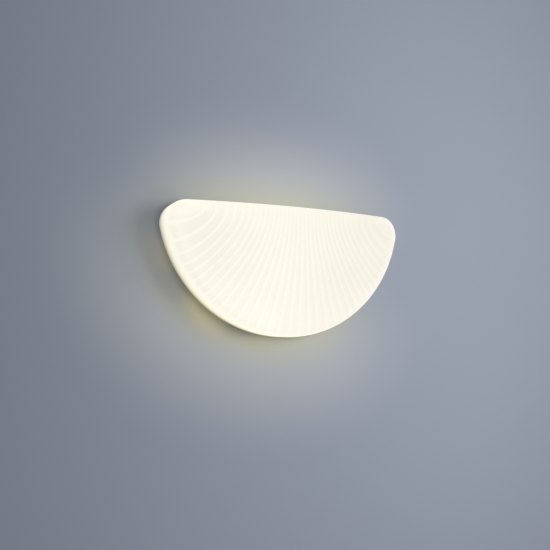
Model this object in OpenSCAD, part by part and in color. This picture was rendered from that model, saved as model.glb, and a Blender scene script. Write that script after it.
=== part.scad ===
// Half-moon wall lamp with a fan-fluted opal shade
// The wall is the plane y = 0 and the lamp stands forwards of it, towards -Y.
// The origin lies on the wall, midway between the two wall screws, and +Z is up.

/* [Shade] */
// Width of the shade, the diameter of its round edge
shade_w = 300; // [270:1:340]
// Height of the shade from its straight top edge to its lowest point
shade_h = 146; // [136:1:156]
// Radius of the two top corners
corner_r = 23; // [16:1:34]
// Depth of the straight side wall
side_d = 19; // [18:0.5:40]
// Radius of the soft shoulder between side wall and face
shoulder_r = 9; // [6:0.5:13]
// How far the face swells forwards in the middle
dome_h = 18; // [12:0.5:30]
// Thickness of the shade's wall
shade_t = 3; // [2.4:0.1:4]
// Number of flutes across the fan, with the two plain corner lands
flute_count = 35; // [21:2:41]
// Depth of a flute where the fan is widest
flute_d = 1.1; // [0:0.1:1.6]
// Share of the flutes that crowd to the middle of the top edge
fan_gather = 0.325; // [0.1:0.005:0.4]
// How strongly the flutes lean out towards the top corners
fan_spread = 1.33; // [0.5:0.01:1.4]
// Pull of the flutes' ends towards square with the edges
fan_pull = 0.27; // [0.15:0.01:0.4]

/* [Fit to the wall] */
// Gap between the shade's rim and the wall
rim_gap = 2; // [1.5:0.1:5]
// Height of the shade's top edge above the line of the wall screws
top_rise = 62; // [58:1:66]
// Distance between the two wall screws
screw_pitch = 120; // [110:1:130]
// Width of a wall screw slot
slot_w = 5; // [4:0.1:6]
// Length of a wall screw slot
slot_l = 12; // [9:0.5:16]
// Diameter of the pressed seat round a wall screw slot
seat_d = 26; // [22:0.5:28]
// Height of the supply cable's hole above the wall screws
cable_up = 12; // [10:0.5:14]
// Bore of the supply cable's grommet
cable_bore = 9; // [7:0.5:11]

/* [Base tray] */
// Thickness of the tray's and the light plate's sheet
sheet_t = 1; // [0.8:0.1:1.5]
// Height of the tray's flange
flange_h = 14; // [12:0.5:18]
// Gap all round between the flange and the shade
shade_fit = 0.8; // [0.6:0.1:1.2]
// Width of the foam seal
seal_w = 6; // [4:0.5:9]
// Tangential width of a shade spring
spring_w = 10; // [7:0.5:14]
// Thickness of a shade spring
spring_t = 0.4; // [0.3:0.05:0.6]
// Gap between a spring's crest and the shade
spring_gap = 0.35; // [0.3:0.05:0.5]
// Distance of each top spring from the middle
top_spring_x = 88; // [84:1:96]
// Angle of each lower spring from straight down
low_spring_a = 50; // [46:1:54]

/* [Light plate] */
// Inset of the light plate from the shade's outline
plate_inset = 14; // [12:0.5:16]
// Gap between the driver and the light plate
plate_gap = 1; // [0.5:0.1:2]
// Depth of the light plate's turned edge
skirt_h = 8; // [5:0.5:10]
// Diameter of a pillar
pillar_d = 7; // [6:0.5:8]
// Distance of each top pillar from the middle
top_pillar_x = 84; // [76:1:92]
// Angle of each lower pillar from straight down
low_pillar_a = 50; // [44:1:54]

/* [Light source] */
// Inset of the light board from the shade's outline
board_inset = 26; // [24:0.5:28]
// Least corner radius of the light board
least_corner_r = 6; // [3:0.5:8]
// Thickness of the light board
board_t = 1.6; // [1:0.1:2]
// Thickness of the heat pad behind the light board
pad_t = 0.5; // [0.3:0.1:1]
// Distance between neighbours along a row of light chips
led_pitch = 18; // [14:0.5:26]
// Number of rows of light chips
led_rows = 4; // [2:1:4]
// Distance between two rows of light chips
row_pitch = 24; // [22:0.5:26]
// Distance of the outer row of chips from the edge of the light board
led_margin = 8; // [5:0.5:10]
// Length, width and height of a light chip
led_size = [3.5, 2.8, 0.8];
// Angle from straight down at which the output leads reach the light board
socket_a = 66; // [60:1:72]

/* [Driver] */
// Length of the driver
driver_l = 100; // [88:1:108]
// Width of the driver
driver_w = 30; // [26:0.5:34]
// Height of the driver
driver_h = 20; // [18:0.5:22]
// Wall of the driver's case and lid
driver_t = 1.6; // [1.2:0.1:2]
// Distance of the driver's middle below the wall screws
driver_down = 29; // [26:0.5:32]

/* [Wiring] */
// Diameter of the mains and earth leads
mains_d = 2.4; // [2:0.1:2.8]
// Diameter of the output leads
output_d = 1.8; // [1.4:0.1:1.9]
// Distance between the poles of the terminal block
pole_pitch = 10; // [9:0.5:11]

/* [Hidden] */
$fn = 40;

// Small amounts shared by all pieces
eps = 0.01;
slack = 0.1;

// Outline of the shade: a round edge of radius edge_r about [0, edge_y], cut by the top edge
edge_r = shade_w / 2;
edge_y = top_rise - shade_h + edge_r;

// Corner of the outline at an inset: centre x and height, radius, and the direction, in degrees
// from down, in which the round edge passes into it
function corner_of(inset) = let (
    r = max(corner_r - inset, least_corner_r),
    y = top_rise - inset - r,
    x = sqrt(pow(edge_r - inset - r, 2) - pow(edge_y - y, 2))
) [x, y, r, atan2(x, edge_y - y)];

corner_x = corner_of(0)[0];
corner_a = corner_of(0)[3];

// Heights above the wall
floor_f = rim_gap + sheet_t;
plate_f = floor_f + driver_h + plate_gap;
plate_front = plate_f + sheet_t;
board_f = plate_front + pad_t;
board_front = board_f + board_t;

// Insets from the shade's outline
tray_inset = shade_t + shade_fit;
pillar_inset = (plate_inset + board_inset) / 2;

// Screws: clearance between a shank and its hole, head size, shank radius
shank_r = 1.5;
hole_r = shank_r + slack / 2;
head_r = 3;
head_h = 1.8;

// Point on the outline, moved in by inset, where the outward direction is a degrees from down
function edge_point(a, inset) = let (corner = corner_of(inset)) a <= corner[3]
    ? [(edge_r - inset) * sin(a), edge_y - (edge_r - inset) * cos(a)]
    : [corner[0] + corner[2] * sin(a), corner[1] - corner[2] * cos(a)];

// Closed outline at an inset, from the lowest point round by the right
function outline(inset, round_steps = 24, corner_steps = 12) = let (
    turn = corner_of(inset)[3],
    angles = concat(
        [for (i = [0 : round_steps]) turn * i / round_steps],
        [for (i = [1 : corner_steps]) turn + (180 - turn) * i / corner_steps]
    ),
    right = [for (a = angles) edge_point(a, inset)],
    n = len(right)
) concat(right, [for (i = [n - 1 : -1 : 1]) [-right[i][0], right[i][1]]]);

module d_shape(inset) {
    polygon(outline(inset));
}

// Turns a drawing of x, height and distance from the wall into the lamp's own axes
module on_wall() {
    rotate([90, 0, 0]) children();
}

// Carries a drawing with -y outwards to the round edge, a degrees from straight down
module at_edge(a, inset) {
    translate([0, edge_y, 0]) rotate([0, 0, a]) translate([0, inset - edge_r, 0]) children();
}

// Carries the same drawing to the straight top edge
module at_top(x, inset) {
    translate([x, top_rise - inset, 0]) rotate([0, 0, 180]) children();
}

// Pan-head screw with its head's seat at z = 0 and its shank downwards
module screw(length) {
    difference() {
        union() {
            cylinder(r = head_r, h = head_h);
            translate([0, 0, -length]) cylinder(r = shank_r, h = length + eps);
        }
        for (turn = [0, 90]) {
            rotate([0, 0, turn]) translate([-1.6, -0.35, head_h - 1]) cube([3.2, 0.7, 2]);
        }
    }
}

// Rubber grommet round a sheet that lies from z = 0 to the sheet's thickness
module grommet(sheet_r, bore_r, lip, lip_back, lip_front) {
    neck_r = sheet_r - slack;
    bevel = 0.4;
    rotate_extrude($fn = 48) polygon([
        [bore_r, -lip_back],
        [neck_r + lip - bevel, -lip_back],
        [neck_r + lip, -lip_back + bevel],
        [neck_r + lip, 0],
        [neck_r, 0],
        [neck_r, sheet_t],
        [neck_r + lip, sheet_t],
        [neck_r + lip, sheet_t + lip_front - bevel],
        [neck_r + lip - bevel, sheet_t + lip_front],
        [bore_r, sheet_t + lip_front]
    ]);
}

// Shade
// The fan is a family of curves numbered u = -1 .. 1 from the left corner to the right. Each
// leaves the top edge straight down and meets the round edge squarely.

// Steps across one flute, and across the land at each corner
flute_steps = 4;
land_steps = 12;
// The same for the plain inside of the shade
inner_land_steps = 6;
// Steps along a flute outside and inside, and round the shoulder outside and inside
run_steps = 12;
inner_run_steps = 6;
shoulder_steps = 4;
inner_shoulder_steps = 3;
// Depth of a flute at the top edge, as a share of its full depth
top_share = 0.35;
// Share of a flute's length over which it then grows to its full depth
run_in = 0.45;
// Power with which the flutes fade out over the shoulders
fade_power = 1.5;
// Power with which the top ends spread towards the corners, and the lower ends lean
gather_power = 5;
spread_power = 4.7;

side_f = rim_gap + side_d;

round_run = (edge_r - shoulder_r) * corner_a * PI / 180;
corner_run = (corner_r - shoulder_r) * (180 - corner_a) * PI / 180;

// Where curve u starts on the top edge
function fan_top_x(u) = let (v = abs(u))
    sign(u) * corner_x * ((1 - fan_gather) * v + fan_gather * pow(v, gather_power));

// Direction of the round edge where curve u ends, in degrees from down
function fan_edge_a(u) = let (
    v = abs(u),
    s = (v - fan_spread * pow(v, spread_power) * (1 - v)) * (round_run + corner_run)
) s <= round_run
    ? s / (edge_r - shoulder_r) * 180 / PI
    : corner_a + (s - round_run) / (corner_r - shoulder_r) * 180 / PI;

function side_point(u, a, inset) = let (p = edge_point(a, inset)) [u < 0 ? -p[0] : p[0], p[1]];

// Swell of the face at a point
function swell(p) = dome_h * (1 - (p[0] * p[0] + pow(p[1] - edge_y, 2)) / (edge_r * edge_r));

// Point at share t of the way down curve u
function fan_point(u, t) = let (
    a = fan_edge_a(u),
    p0 = [fan_top_x(u), top_rise - shoulder_r],
    p3 = side_point(u, a, shoulder_r),
    reach = fan_pull * norm(p3 - p0),
    p1 = p0 - [0, reach],
    p2 = p3 - reach * [(u < 0 ? -1 : 1) * sin(a), -cos(a)],
    s = 1 - t
) s * s * s * p0 + 3 * s * s * t * p1 + 3 * s * t * t * p2 + t * t * t * p3;

// One closed loop of points round the rim, first along the top, then back along the round edge
function rim_loop(us, inset) = let (n = len(us) - 1) concat(
    [for (k = [0 : n]) [fan_top_x(us[k]), top_rise - inset, rim_gap]],
    [for (k = [n - 1 : -1 : 1])
        let (p = side_point(us[k], fan_edge_a(us[k]), inset))
        [p[0], p[1], rim_gap]]
);

// The same round a shoulder of radius r, b degrees up from the side wall
function shoulder_loop(us, r, b, fluted) = let (n = len(us) - 1) [
    for (k = [0 : 2 * n - 1])
        let (
            top = k <= n,
            u = us[top ? k : 2 * n - k],
            left = r - (fluted ? flute(u, top ? 0 : 1) * pow(sin(b), fade_power) : 0),
            depth = shoulder_r - left * cos(b),
            p = top ? [fan_top_x(u), top_rise - depth] : side_point(u, fan_edge_a(u), depth)
        )
        [p[0], p[1], side_f + left * sin(b) + swell(p)]
];

// Curves of one surface: flute by flute, with the corner lands in finer steps
function fan_curves(steps, land) = concat(
    [for (q = [0 : flute_count - 1])
        let (n = q == 0 || q == flute_count - 1 ? land : steps)
        for (i = [0 : n - 1]) 2 * (q + i / n) / flute_count - 1],
    [1]
);

// Depth of the flutes at curve u, share t along it
function flute(u, t) = let (
    place = (u + 1) / 2 * flute_count,
    share = place - floor(place),
    land = place < 1 || place > flute_count - 1,
    run = min(1, t / run_in),
    grown = run * run * (3 - 2 * run)
) land ? 0 : flute_d * 4 * share * (1 - share) * (top_share + (1 - top_share) * grown);

// Points of one surface: rim, shoulder loops and the face inside the last loop
function surface_points(us, inset, loops, runs, fluted) = let (
    n = len(us) - 1,
    r = shoulder_r - inset
) concat(
    rim_loop(us, inset),
    [for (i = [0 : loops]) for (p = shoulder_loop(us, r, 90 * i / loops, fluted)) p],
    [for (k = [1 : n - 1])
        for (i = [1 : runs - 1])
            let (
                t = (1 - cos(180 * i / runs)) / 2,
                p = fan_point(us[k], t)
            )
            [p[0], p[1], side_f + r + swell(p) - (fluted ? flute(us[k], t) : 0)]]
);

function turned(face, inside) = inside ? [for (i = [len(face) - 1 : -1 : 0]) face[i]] : face;

// Triangles of one surface whose points start at base
function surface_faces(us, loops, runs, base, inside) = let (
    n = len(us) - 1,
    ring = 2 * n,
    last = base + ring * (loops + 1),
    inner = last + ring
) concat(
    [for (r = [0 : loops])
        for (k = [0 : ring - 1])
            let (
                a = base + r * ring + k,
                b = base + r * ring + (k + 1) % ring
            )
            for (face = [[a, b, b + ring], [a, b + ring, a + ring]]) turned(face, inside)],
    [for (k = [0 : n - 1])
        for (i = [0 : runs - 1])
            let (
                a = face_id(k, i, n, runs, last, inner),
                b = face_id(k + 1, i, n, runs, last, inner),
                c = face_id(k + 1, i + 1, n, runs, last, inner),
                d = face_id(k, i + 1, n, runs, last, inner)
            )
            for (face = [[a, b, c], [a, c, d]])
                if (face[0] != face[1] && face[1] != face[2] && face[0] != face[2]) turned(face, inside)]
);

// Number of the point at curve k, step i: on the last loop at the edges, else inside the face
function face_id(k, i, n, runs, last, inner) =
    k == 0 ? last
    : k == n ? last + n
    : i == 0 ? last + k
    : i == runs ? last + 2 * n - k
    : inner + (k - 1) * (runs - 1) + i - 1;

// Place in the outer loop of each point of the inner loop
function loop_places(us_in, us_out) = let (
    match = [for (u = us_in) search_curve(u, us_out)],
    n_in = len(us_in) - 1,
    n_out = len(us_out) - 1
) concat(
    [for (k = [0 : n_in]) match[k]],
    [for (k = [n_in - 1 : -1 : 1]) 2 * n_out - match[k]],
    [2 * n_out]
);

function search_curve(u, us) = [for (i = [0 : len(us) - 1]) if (abs(us[i] - u) < 1e-6) i][0];

// Flat rim between the outer and the inner loop
function rim_faces(places, ring_out, ring_in, base_in) = [
    for (j = [0 : ring_in - 1])
        let (
            first = places[j],
            end = places[j + 1],
            middle = floor((first + end) / 2),
            a = base_in + j,
            b = base_in + (j + 1) % ring_in
        )
        for (face = concat(
            [for (i = [first : 1 : middle - 1]) [a, (i + 1) % ring_out, i % ring_out]],
            [[a, b, middle % ring_out]],
            [for (i = [middle : 1 : end - 1]) [b, (i + 1) % ring_out, i % ring_out]]
        )) face
];

module shade() {
    us_out = fan_curves(flute_steps, land_steps);
    us_in = fan_curves(1, inner_land_steps);
    points_out = surface_points(us_out, 0, shoulder_steps, run_steps, true);
    points_in = surface_points(us_in, shade_t, inner_shoulder_steps, inner_run_steps, false);
    base_in = len(points_out);
    color("ivory") on_wall() polyhedron(
        concat(points_out, points_in),
        concat(
            surface_faces(us_out, shoulder_steps, run_steps, 0, false),
            surface_faces(us_in, inner_shoulder_steps, inner_run_steps, base_in, true),
            rim_faces(loop_places(us_in, us_out), 2 * (len(us_out) - 1), 2 * (len(us_in) - 1), base_in)
        ),
        convexity = 6
    );
}

// Base tray and what seals and grips on it

window_l = spring_w + 2;
// Gap between a spring's flat foot and the curved flange
foot_gap = 0.2;
foot_y = sheet_t + foot_gap;
window_low = floor_f + 5.5;
window_high = rim_gap + flange_h - 1.5;
rivet_f = floor_f + 2.8;
rivet_r = 1.2;

// Puts a spring's drawing at each of its four places
module at_springs(inset) {
    for (side = [-1, 1]) {
        at_edge(side * low_spring_a, inset) children();
        at_top(side * top_spring_x, inset) children();
    }
}

// Hole centres in the tray: x and height
pillar_places = concat(
    [[0, edge_y - edge_r + pillar_inset]],
    [for (side = [-1, 1]) [side * top_pillar_x, top_rise - pillar_inset]],
    [for (side = [-1, 1]) side_point(side, low_pillar_a, pillar_inset)]
);
clamp_rise = 22;
clamp_y = cable_up + clamp_rise;
clamp_screw_x = 11;
block_x = -42;
block_y = 30;
block_screw_y = block_y + pole_pitch / 2;
earth_place = [-100, 12];
ear_l = 9;
ear_x = driver_l / 2 + ear_l / 2;

module slot(length, width, height) {
    run = length - width;
    for (side = [-1, 1]) {
        translate([side * run / 2, 0, 0]) cylinder(d = width, h = height);
    }
    translate([-run / 2, -width / 2, 0]) cube([run, width, height]);
}

module base_tray() {
    color("white") on_wall() difference() {
        union() {
            translate([0, 0, rim_gap]) linear_extrude(sheet_t) d_shape(tray_inset);
            translate([0, 0, rim_gap]) linear_extrude(flange_h) difference() {
                d_shape(tray_inset);
                d_shape(tray_inset + sheet_t);
            }
            for (side = [-1, 1]) {
                translate([side * screw_pitch / 2, 0, 0]) cylinder(d = seat_d, h = floor_f);
            }
        }
        for (side = [-1, 1]) {
            translate([side * screw_pitch / 2, 0, 0]) {
                translate([0, 0, sheet_t]) cylinder(d = seat_d - 2 * sheet_t, h = floor_f);
                translate([0, 0, -1]) slot(slot_l, slot_w, sheet_t + 2);
            }
        }
        translate([0, cable_up, 0]) cylinder(r = cable_hole_r, h = floor_f + 1);
        for (place = pillar_places) {
            translate([place[0], place[1], 0]) cylinder(r = rivet_shank_r + slack / 2, h = floor_f + 1);
        }
        for (side = [-1, 1]) {
            translate([side * clamp_screw_x, clamp_y, 0]) cylinder(r = hole_r, h = floor_f + 1);
            translate([side * ear_x, -driver_down, 0]) cylinder(r = hole_r, h = floor_f + 1);
        }
        translate([block_x, block_screw_y, 0]) cylinder(r = hole_r, h = floor_f + 1);
        translate([earth_place[0], earth_place[1], 0]) cylinder(r = stud_r + slack / 2, h = floor_f + 1);
        at_springs(tray_inset) {
            translate([-window_l / 2, -1, window_low]) {
                cube([window_l, sheet_t + 2, window_high - window_low]);
            }
            translate([0, sheet_t + 1, rivet_f]) rotate([90, 0, 0]) {
                cylinder(r = rivet_r + slack / 2, h = sheet_t + 2);
            }
        }
    }
}

module wall_seal() {
    color("dimgray") on_wall() linear_extrude(rim_gap) difference() {
        d_shape(tray_inset + sheet_t);
        d_shape(tray_inset + sheet_t + seal_w);
    }
}

// Leaf spring: flat foot on the flange's inner face and a crest that looks out of the window
module shade_spring() {
    crest = [spring_gap - shade_fit, (window_low + window_high) / 2];
    profile = [[foot_y, floor_f + 0.5], [foot_y, window_low + 0.6], crest, [foot_y, window_high - 0.6]];
    rotate([90, 0, 90]) translate([0, 0, -spring_w / 2]) linear_extrude(spring_w) {
        polygon(concat(profile, [for (i = [len(profile) - 1 : -1 : 0]) profile[i] + [spring_t, 0]]));
    }
}

module shade_springs() {
    color("silver") on_wall() at_springs(tray_inset) difference() {
        shade_spring();
        translate([0, foot_y + 1, rivet_f]) rotate([90, 0, 0]) cylinder(r = rivet_r + slack / 2, h = 3);
    }
}

module spring_rivets() {
    color("gray") on_wall() at_springs(tray_inset) translate([0, foot_y + spring_t, rivet_f]) {
        rotate([90, 0, 0]) cylinder(r = rivet_r, h = foot_y + spring_t);
        rotate([-90, 0, 0]) cylinder(r = 2.2, h = 0.7);
    }
}

// Supply cable entry and terminals

cable_hole_r = cable_bore / 2 + 2;
cable_lip = 2;
cable_lip_h = 1.6;
// Gap between the grommet and the wall
cable_lip_gap = 0.5;

module cable_grommet() {
    color("black") on_wall() translate([0, cable_up, rim_gap]) {
        grommet(cable_hole_r, cable_bore / 2, cable_lip, rim_gap - cable_lip_gap, cable_lip_h);
    }
}

clamp_l = 32;
clamp_w = 9;
clamp_h = 7;
clamp_ear_h = 3;

module cable_clamp() {
    color("whitesmoke") on_wall() translate([0, clamp_y, floor_f]) difference() {
        union() {
            translate([-clamp_l / 2, -clamp_w / 2, 0]) cube([clamp_l, clamp_w, clamp_ear_h]);
            translate([0, clamp_w / 2, 0]) rotate([90, 0, 0]) cylinder(r = clamp_h, h = clamp_w);
        }
        translate([-clamp_l, -clamp_l, -2 * clamp_l]) cube(2 * clamp_l);
        translate([0, clamp_w, 0]) rotate([90, 0, 0]) cylinder(d = cable_bore, h = 2 * clamp_w);
        for (side = [-1, 1]) {
            translate([side * clamp_screw_x, 0, -1]) cylinder(r = hole_r, h = clamp_h + 2);
        }
    }
}

module clamp_screws() {
    color("silver") on_wall() for (side = [-1, 1]) {
        translate([side * clamp_screw_x, clamp_y, floor_f + clamp_ear_h]) {
            screw(clamp_ear_h + sheet_t);
        }
    }
}

block_l = 18;
block_h = 14;
block_margin = 5.5;
pole_w = 8.4;
web_h = 9;
block_foot_t = 2.2;
pole_f = floor_f + 6.5;
barrel_r = 2.75;
barrel_l = 14;
entry_r = mains_d / 2 + 0.6;
pole_screw_x = 3.8;
pole_screw_r = 1.25;
pole_head_r = 1.9;
pole_ys = [for (i = [-1 : 1]) block_y + i * pole_pitch];

module terminal_block() {
    width = 2 * pole_pitch + 2 * block_margin;
    color("whitesmoke") on_wall() difference() {
        union() {
            translate([block_x - block_l / 2, block_y - width / 2, floor_f]) {
                cube([block_l, width, block_foot_t]);
            }
            for (y = pole_ys) {
                translate([block_x - block_l / 2, y - pole_w / 2, floor_f]) {
                    cube([block_l, pole_w, block_h]);
                }
            }
            translate([block_x - block_l / 2, pole_ys[0], floor_f]) {
                cube([block_l, 2 * pole_pitch, web_h]);
            }
        }
        for (y = pole_ys) {
            translate([block_x, y, pole_f]) rotate([0, 90, 0]) {
                cylinder(r = entry_r, h = block_l + 2, center = true);
                cylinder(r = barrel_r + slack / 2, h = barrel_l + slack, center = true);
            }
            for (side = [-1, 1]) {
                translate([block_x + side * pole_screw_x, y, pole_f]) {
                    cylinder(r = pole_head_r + 0.3, h = block_h);
                }
            }
        }
        translate([block_x, block_screw_y, 0]) {
            cylinder(r = hole_r, h = floor_f + block_h + 1);
            translate([0, 0, floor_f + block_foot_t]) cylinder(r = head_r + slack, h = block_h);
        }
    }
}

module terminal_barrels() {
    color("goldenrod") on_wall() for (y = pole_ys) {
        translate([block_x, y, pole_f]) difference() {
            rotate([0, 90, 0]) cylinder(r = barrel_r, h = barrel_l, center = true);
            rotate([0, 90, 0]) cylinder(r = entry_r - 0.2, h = barrel_l + 2, center = true);
            for (side = [-1, 1]) {
                translate([side * pole_screw_x, 0, 0]) cylinder(r = pole_screw_r + slack / 2, h = 5);
            }
        }
    }
}

module terminal_screws() {
    head_f = pole_f + barrel_r;
    color("silver") on_wall() for (y = pole_ys, side = [-1, 1]) {
        translate([block_x + side * pole_screw_x, y, head_f]) difference() {
            union() {
                cylinder(r = pole_head_r, h = 2.4);
                translate([0, 0, -1]) cylinder(r = pole_screw_r, h = 1 + eps);
            }
            translate([-2, -0.3, 1.6]) cube([4, 0.6, 1]);
        }
    }
}

module block_screw() {
    color("silver") on_wall() translate([block_x, block_screw_y, floor_f + block_foot_t]) {
        screw(block_foot_t + sheet_t);
    }
}

stud_r = 2;
stud_l = 11;
washer_t = 0.8;
tag_t = 0.8;
nut_h = 3.2;
tag_l = 14;
tag_barrel_r = 1.9;

module earth_stud() {
    color("goldenrod") on_wall() translate([earth_place[0], earth_place[1], 0]) {
        translate([0, 0, rim_gap]) cylinder(r = stud_r, h = stud_l);
        translate([0, 0, rim_gap - 0.8]) cylinder(r = 3.5, h = 0.8);
    }
}

module earth_washer() {
    teeth = 10;
    color("silver") on_wall() translate([earth_place[0], earth_place[1], floor_f]) difference() {
        cylinder(r = 4.6, h = washer_t);
        translate([0, 0, -1]) cylinder(r = stud_r + slack, h = washer_t + 2);
        for (i = [0 : teeth - 1]) {
            rotate([0, 0, i * 360 / teeth]) translate([3.7, -0.35, -1]) cube([2, 0.7, washer_t + 2]);
        }
    }
}

module earth_tag() {
    tag_f = floor_f + washer_t;
    color("silver") on_wall() translate([earth_place[0], earth_place[1], tag_f]) difference() {
        union() {
            cylinder(r = 4.2, h = tag_t);
            translate([0, -1.5, 0]) cube([tag_l - 6, 3, tag_t]);
            translate([tag_l - 7, 0, tag_barrel_r]) rotate([0, 90, 0]) cylinder(r = tag_barrel_r, h = 7);
        }
        translate([0, 0, -1]) cylinder(r = stud_r + slack, h = tag_t + 2);
        translate([tag_l - 5, 0, tag_barrel_r]) rotate([0, 90, 0]) cylinder(r = tag_barrel_r - 0.5, h = 8);
    }
}

module earth_nut() {
    color("goldenrod") on_wall() translate([earth_place[0], earth_place[1], floor_f + washer_t + tag_t]) {
        difference() {
            cylinder(r = 4, h = nut_h, $fn = 6);
            translate([0, 0, -1]) cylinder(r = stud_r + slack / 2, h = nut_h + 2);
        }
    }
}

// Driver

case_h = driver_h - driver_t;
lid_f = floor_f + case_h;
lead_dy = 3.5;
post_h = 3;
pcb_t = 1.6;
pcb_f = floor_f + driver_t + post_h;
pcb_top = pcb_f + pcb_t;
pcb_l = driver_l - 2 * driver_t - 1;
pcb_w = driver_w - 2 * driver_t - 1;
ear_w = 12;
ear_t = 2.4;
term_l = 10;
term_w = 15;
term_h = 8;
// Height above the wall at which the leads enter the driver, and the gap round them there
lead_f = pcb_top + term_h / 2;
lead_gap = 0.5;
parts_gap = 2;

// Box between two corners, the second above and beyond the first
module block_at(x, y, f, size) {
    translate([x - size[0] / 2, y - size[1] / 2, f]) cube(size);
}

module driver_case() {
    inner = [driver_l - 2 * driver_t, driver_w - 2 * driver_t, case_h];
    color("white") on_wall() translate([0, -driver_down, floor_f]) difference() {
        union() {
            difference() {
                block_at(0, 0, 0, [driver_l, driver_w, case_h]);
                block_at(0, 0, driver_t, inner);
            }
            for (x = [-1, 1], y = [-1, 1]) {
                translate([x * (pcb_l / 2 - 4), y * (pcb_w / 2 - 4), driver_t - eps]) {
                    cylinder(r = 2, h = post_h + eps);
                }
            }
            for (side = [-1, 1]) {
                translate([side * (driver_l / 2 + ear_l / 2 - eps), 0, 0]) {
                    block_at(0, 0, 0, [ear_l, ear_w, ear_t]);
                }
            }
        }
        for (side = [-1, 1]) {
            translate([side * ear_x, 0, -1]) cylinder(r = hole_r, h = ear_t + 2);
            for (dy = [-lead_dy, lead_dy]) {
                translate([side * driver_l / 2, dy, lead_f - floor_f]) rotate([0, 90, 0]) {
                    cylinder(r = mains_d / 2 + lead_gap, h = 3 * driver_t, center = true);
                }
            }
        }
    }
}

module driver_lid() {
    lip = 1.5;
    gap = 0.2;
    inner = [driver_l - 2 * driver_t - 2 * gap, driver_w - 2 * driver_t - 2 * gap, lip + eps];
    rib_count = 9;
    rib_pitch = 5;
    color("white") on_wall() translate([0, -driver_down, lid_f]) difference() {
        union() {
            block_at(0, 0, 0, [driver_l, driver_w, driver_t]);
            block_at(0, 0, -lip, inner);
        }
        block_at(0, 0, -lip - 1, inner - [2 * driver_t, 2 * driver_t, -1]);
        for (i = [0 : rib_count - 1]) {
            block_at((i - (rib_count - 1) / 2) * rib_pitch, 0, driver_t - 0.5, [2, driver_w - 12, 1]);
        }
    }
}

module driver_board() {
    color("darkgreen") on_wall() block_at(0, -driver_down, pcb_f, [pcb_l, pcb_w, pcb_t]);
}

// Transformer: two end limbs and a core with a round winding between them
module driver_transformer() {
    core = [18, 16, 9];
    limb = 4;
    color("saddlebrown") on_wall() translate([0, -driver_down, pcb_top]) union() {
        for (side = [-1, 1]) {
            block_at(0, side * (core[1] - limb) / 2, 0, [core[0], limb, core[2]]);
        }
        block_at(0, 0, 0, [6, core[1] - limb, core[2]]);
        translate([0, (core[1] - limb) / 2, core[2] / 2]) rotate([90, 0, 0]) {
            cylinder(r = core[2] / 2, h = core[1] - limb);
        }
    }
}

// Two capacitors that lie next to the terminals: side, offset across the board, length
module driver_capacitors() {
    can_r = 4;
    color("navy") on_wall() for (can = [[-1, 4, 16], [1, -3, 13]]) {
        x = can[0] * (pcb_l / 2 - term_l - parts_gap - can[2] / 2);
        translate([x, -driver_down + can[1], pcb_top + can_r]) rotate([0, 90, 0]) {
            cylinder(r = can_r, h = can[2], center = true);
        }
    }
}

module driver_terminals() {
    face_x = pcb_l / 2;
    color("seagreen") on_wall() for (side = [-1, 1]) {
        translate([side * (face_x - term_l / 2), -driver_down, 0]) {
            difference() {
                block_at(0, 0, pcb_top, [term_l, term_w, term_h]);
                for (dy = [-lead_dy, lead_dy]) {
                    translate([0, dy, pcb_top + term_h - 1.2]) cylinder(r = 1.6, h = 2);
                }
            }
        }
    }
}

module driver_screws() {
    color("silver") on_wall() for (side = [-1, 1]) {
        translate([side * ear_x, -driver_down, floor_f + ear_t]) screw(ear_t + sheet_t);
    }
}

// Light plate on its pillars

rivet_shank_r = 2;
plate_screw_l = 7;

module plate_pillars() {
    color("silver") on_wall() for (place = pillar_places) {
        translate([place[0], place[1], 0]) difference() {
            union() {
                translate([0, 0, rim_gap]) cylinder(r = rivet_shank_r, h = sheet_t + eps);
                translate([0, 0, floor_f]) cylinder(d = pillar_d, h = plate_f - floor_f);
            }
            translate([0, 0, plate_f - plate_screw_l]) cylinder(r = hole_r, h = plate_screw_l + 1);
        }
    }
}

plate_grommet_r = 3.2;
plate_grommet_bore = output_d + 0.5;
plate_lip = 1.4;
plate_lip_h = 1.2;
exit_place = side_point(1, socket_a, pillar_inset + 0.3);

// Rows of light chips along arcs about the middle of the round edge
first_row = edge_r - board_inset - led_margin;
top_chip_y = top_rise - board_inset - led_margin;
connector_inset = board_inset + 7;
connector_place = edge_point(socket_a, connector_inset);
// Distance that the chips keep from the middle of the connector
connector_clear = 9;

// Five places for the board's screws, between the rows of chips
board_screw_r = first_row - row_pitch / 2;
board_screw_places = concat(
    [for (a = [-62, -24, 24, 62]) [board_screw_r * sin(a), edge_y - board_screw_r * cos(a)]],
    [[0, edge_y - board_screw_r + 2 * row_pitch]]
);

function row_places(r) = let (
    reach = acos(min(1, (edge_y - top_chip_y) / r)),
    count = floor(2 * reach * PI / 180 * r / led_pitch)
) [for (i = [0 : count]) let (a = reach * (2 * i / count - 1)) [r * sin(a), edge_y - r * cos(a), a]];

led_places = [
    for (row = [0 : led_rows - 1])
        for (p = row_places(first_row - row * row_pitch))
            if (norm([p[0], p[1]] - connector_place) > connector_clear) p
];

module light_plate() {
    color("white") on_wall() difference() {
        translate([0, 0, plate_front - skirt_h]) linear_extrude(skirt_h) d_shape(plate_inset);
        translate([0, 0, plate_front - skirt_h - 1]) linear_extrude(skirt_h - sheet_t + 1) {
            d_shape(plate_inset + sheet_t);
        }
        for (place = pillar_places) {
            translate([place[0], place[1], plate_f - 1]) cylinder(r = hole_r, h = sheet_t + 2);
        }
        for (place = board_screw_places) {
            translate([place[0], place[1], plate_f - 1]) cylinder(r = hole_r, h = sheet_t + 2);
        }
        translate([exit_place[0], exit_place[1], plate_f - 1]) {
            cylinder(r = plate_grommet_r, h = sheet_t + 2);
        }
    }
}

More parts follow.
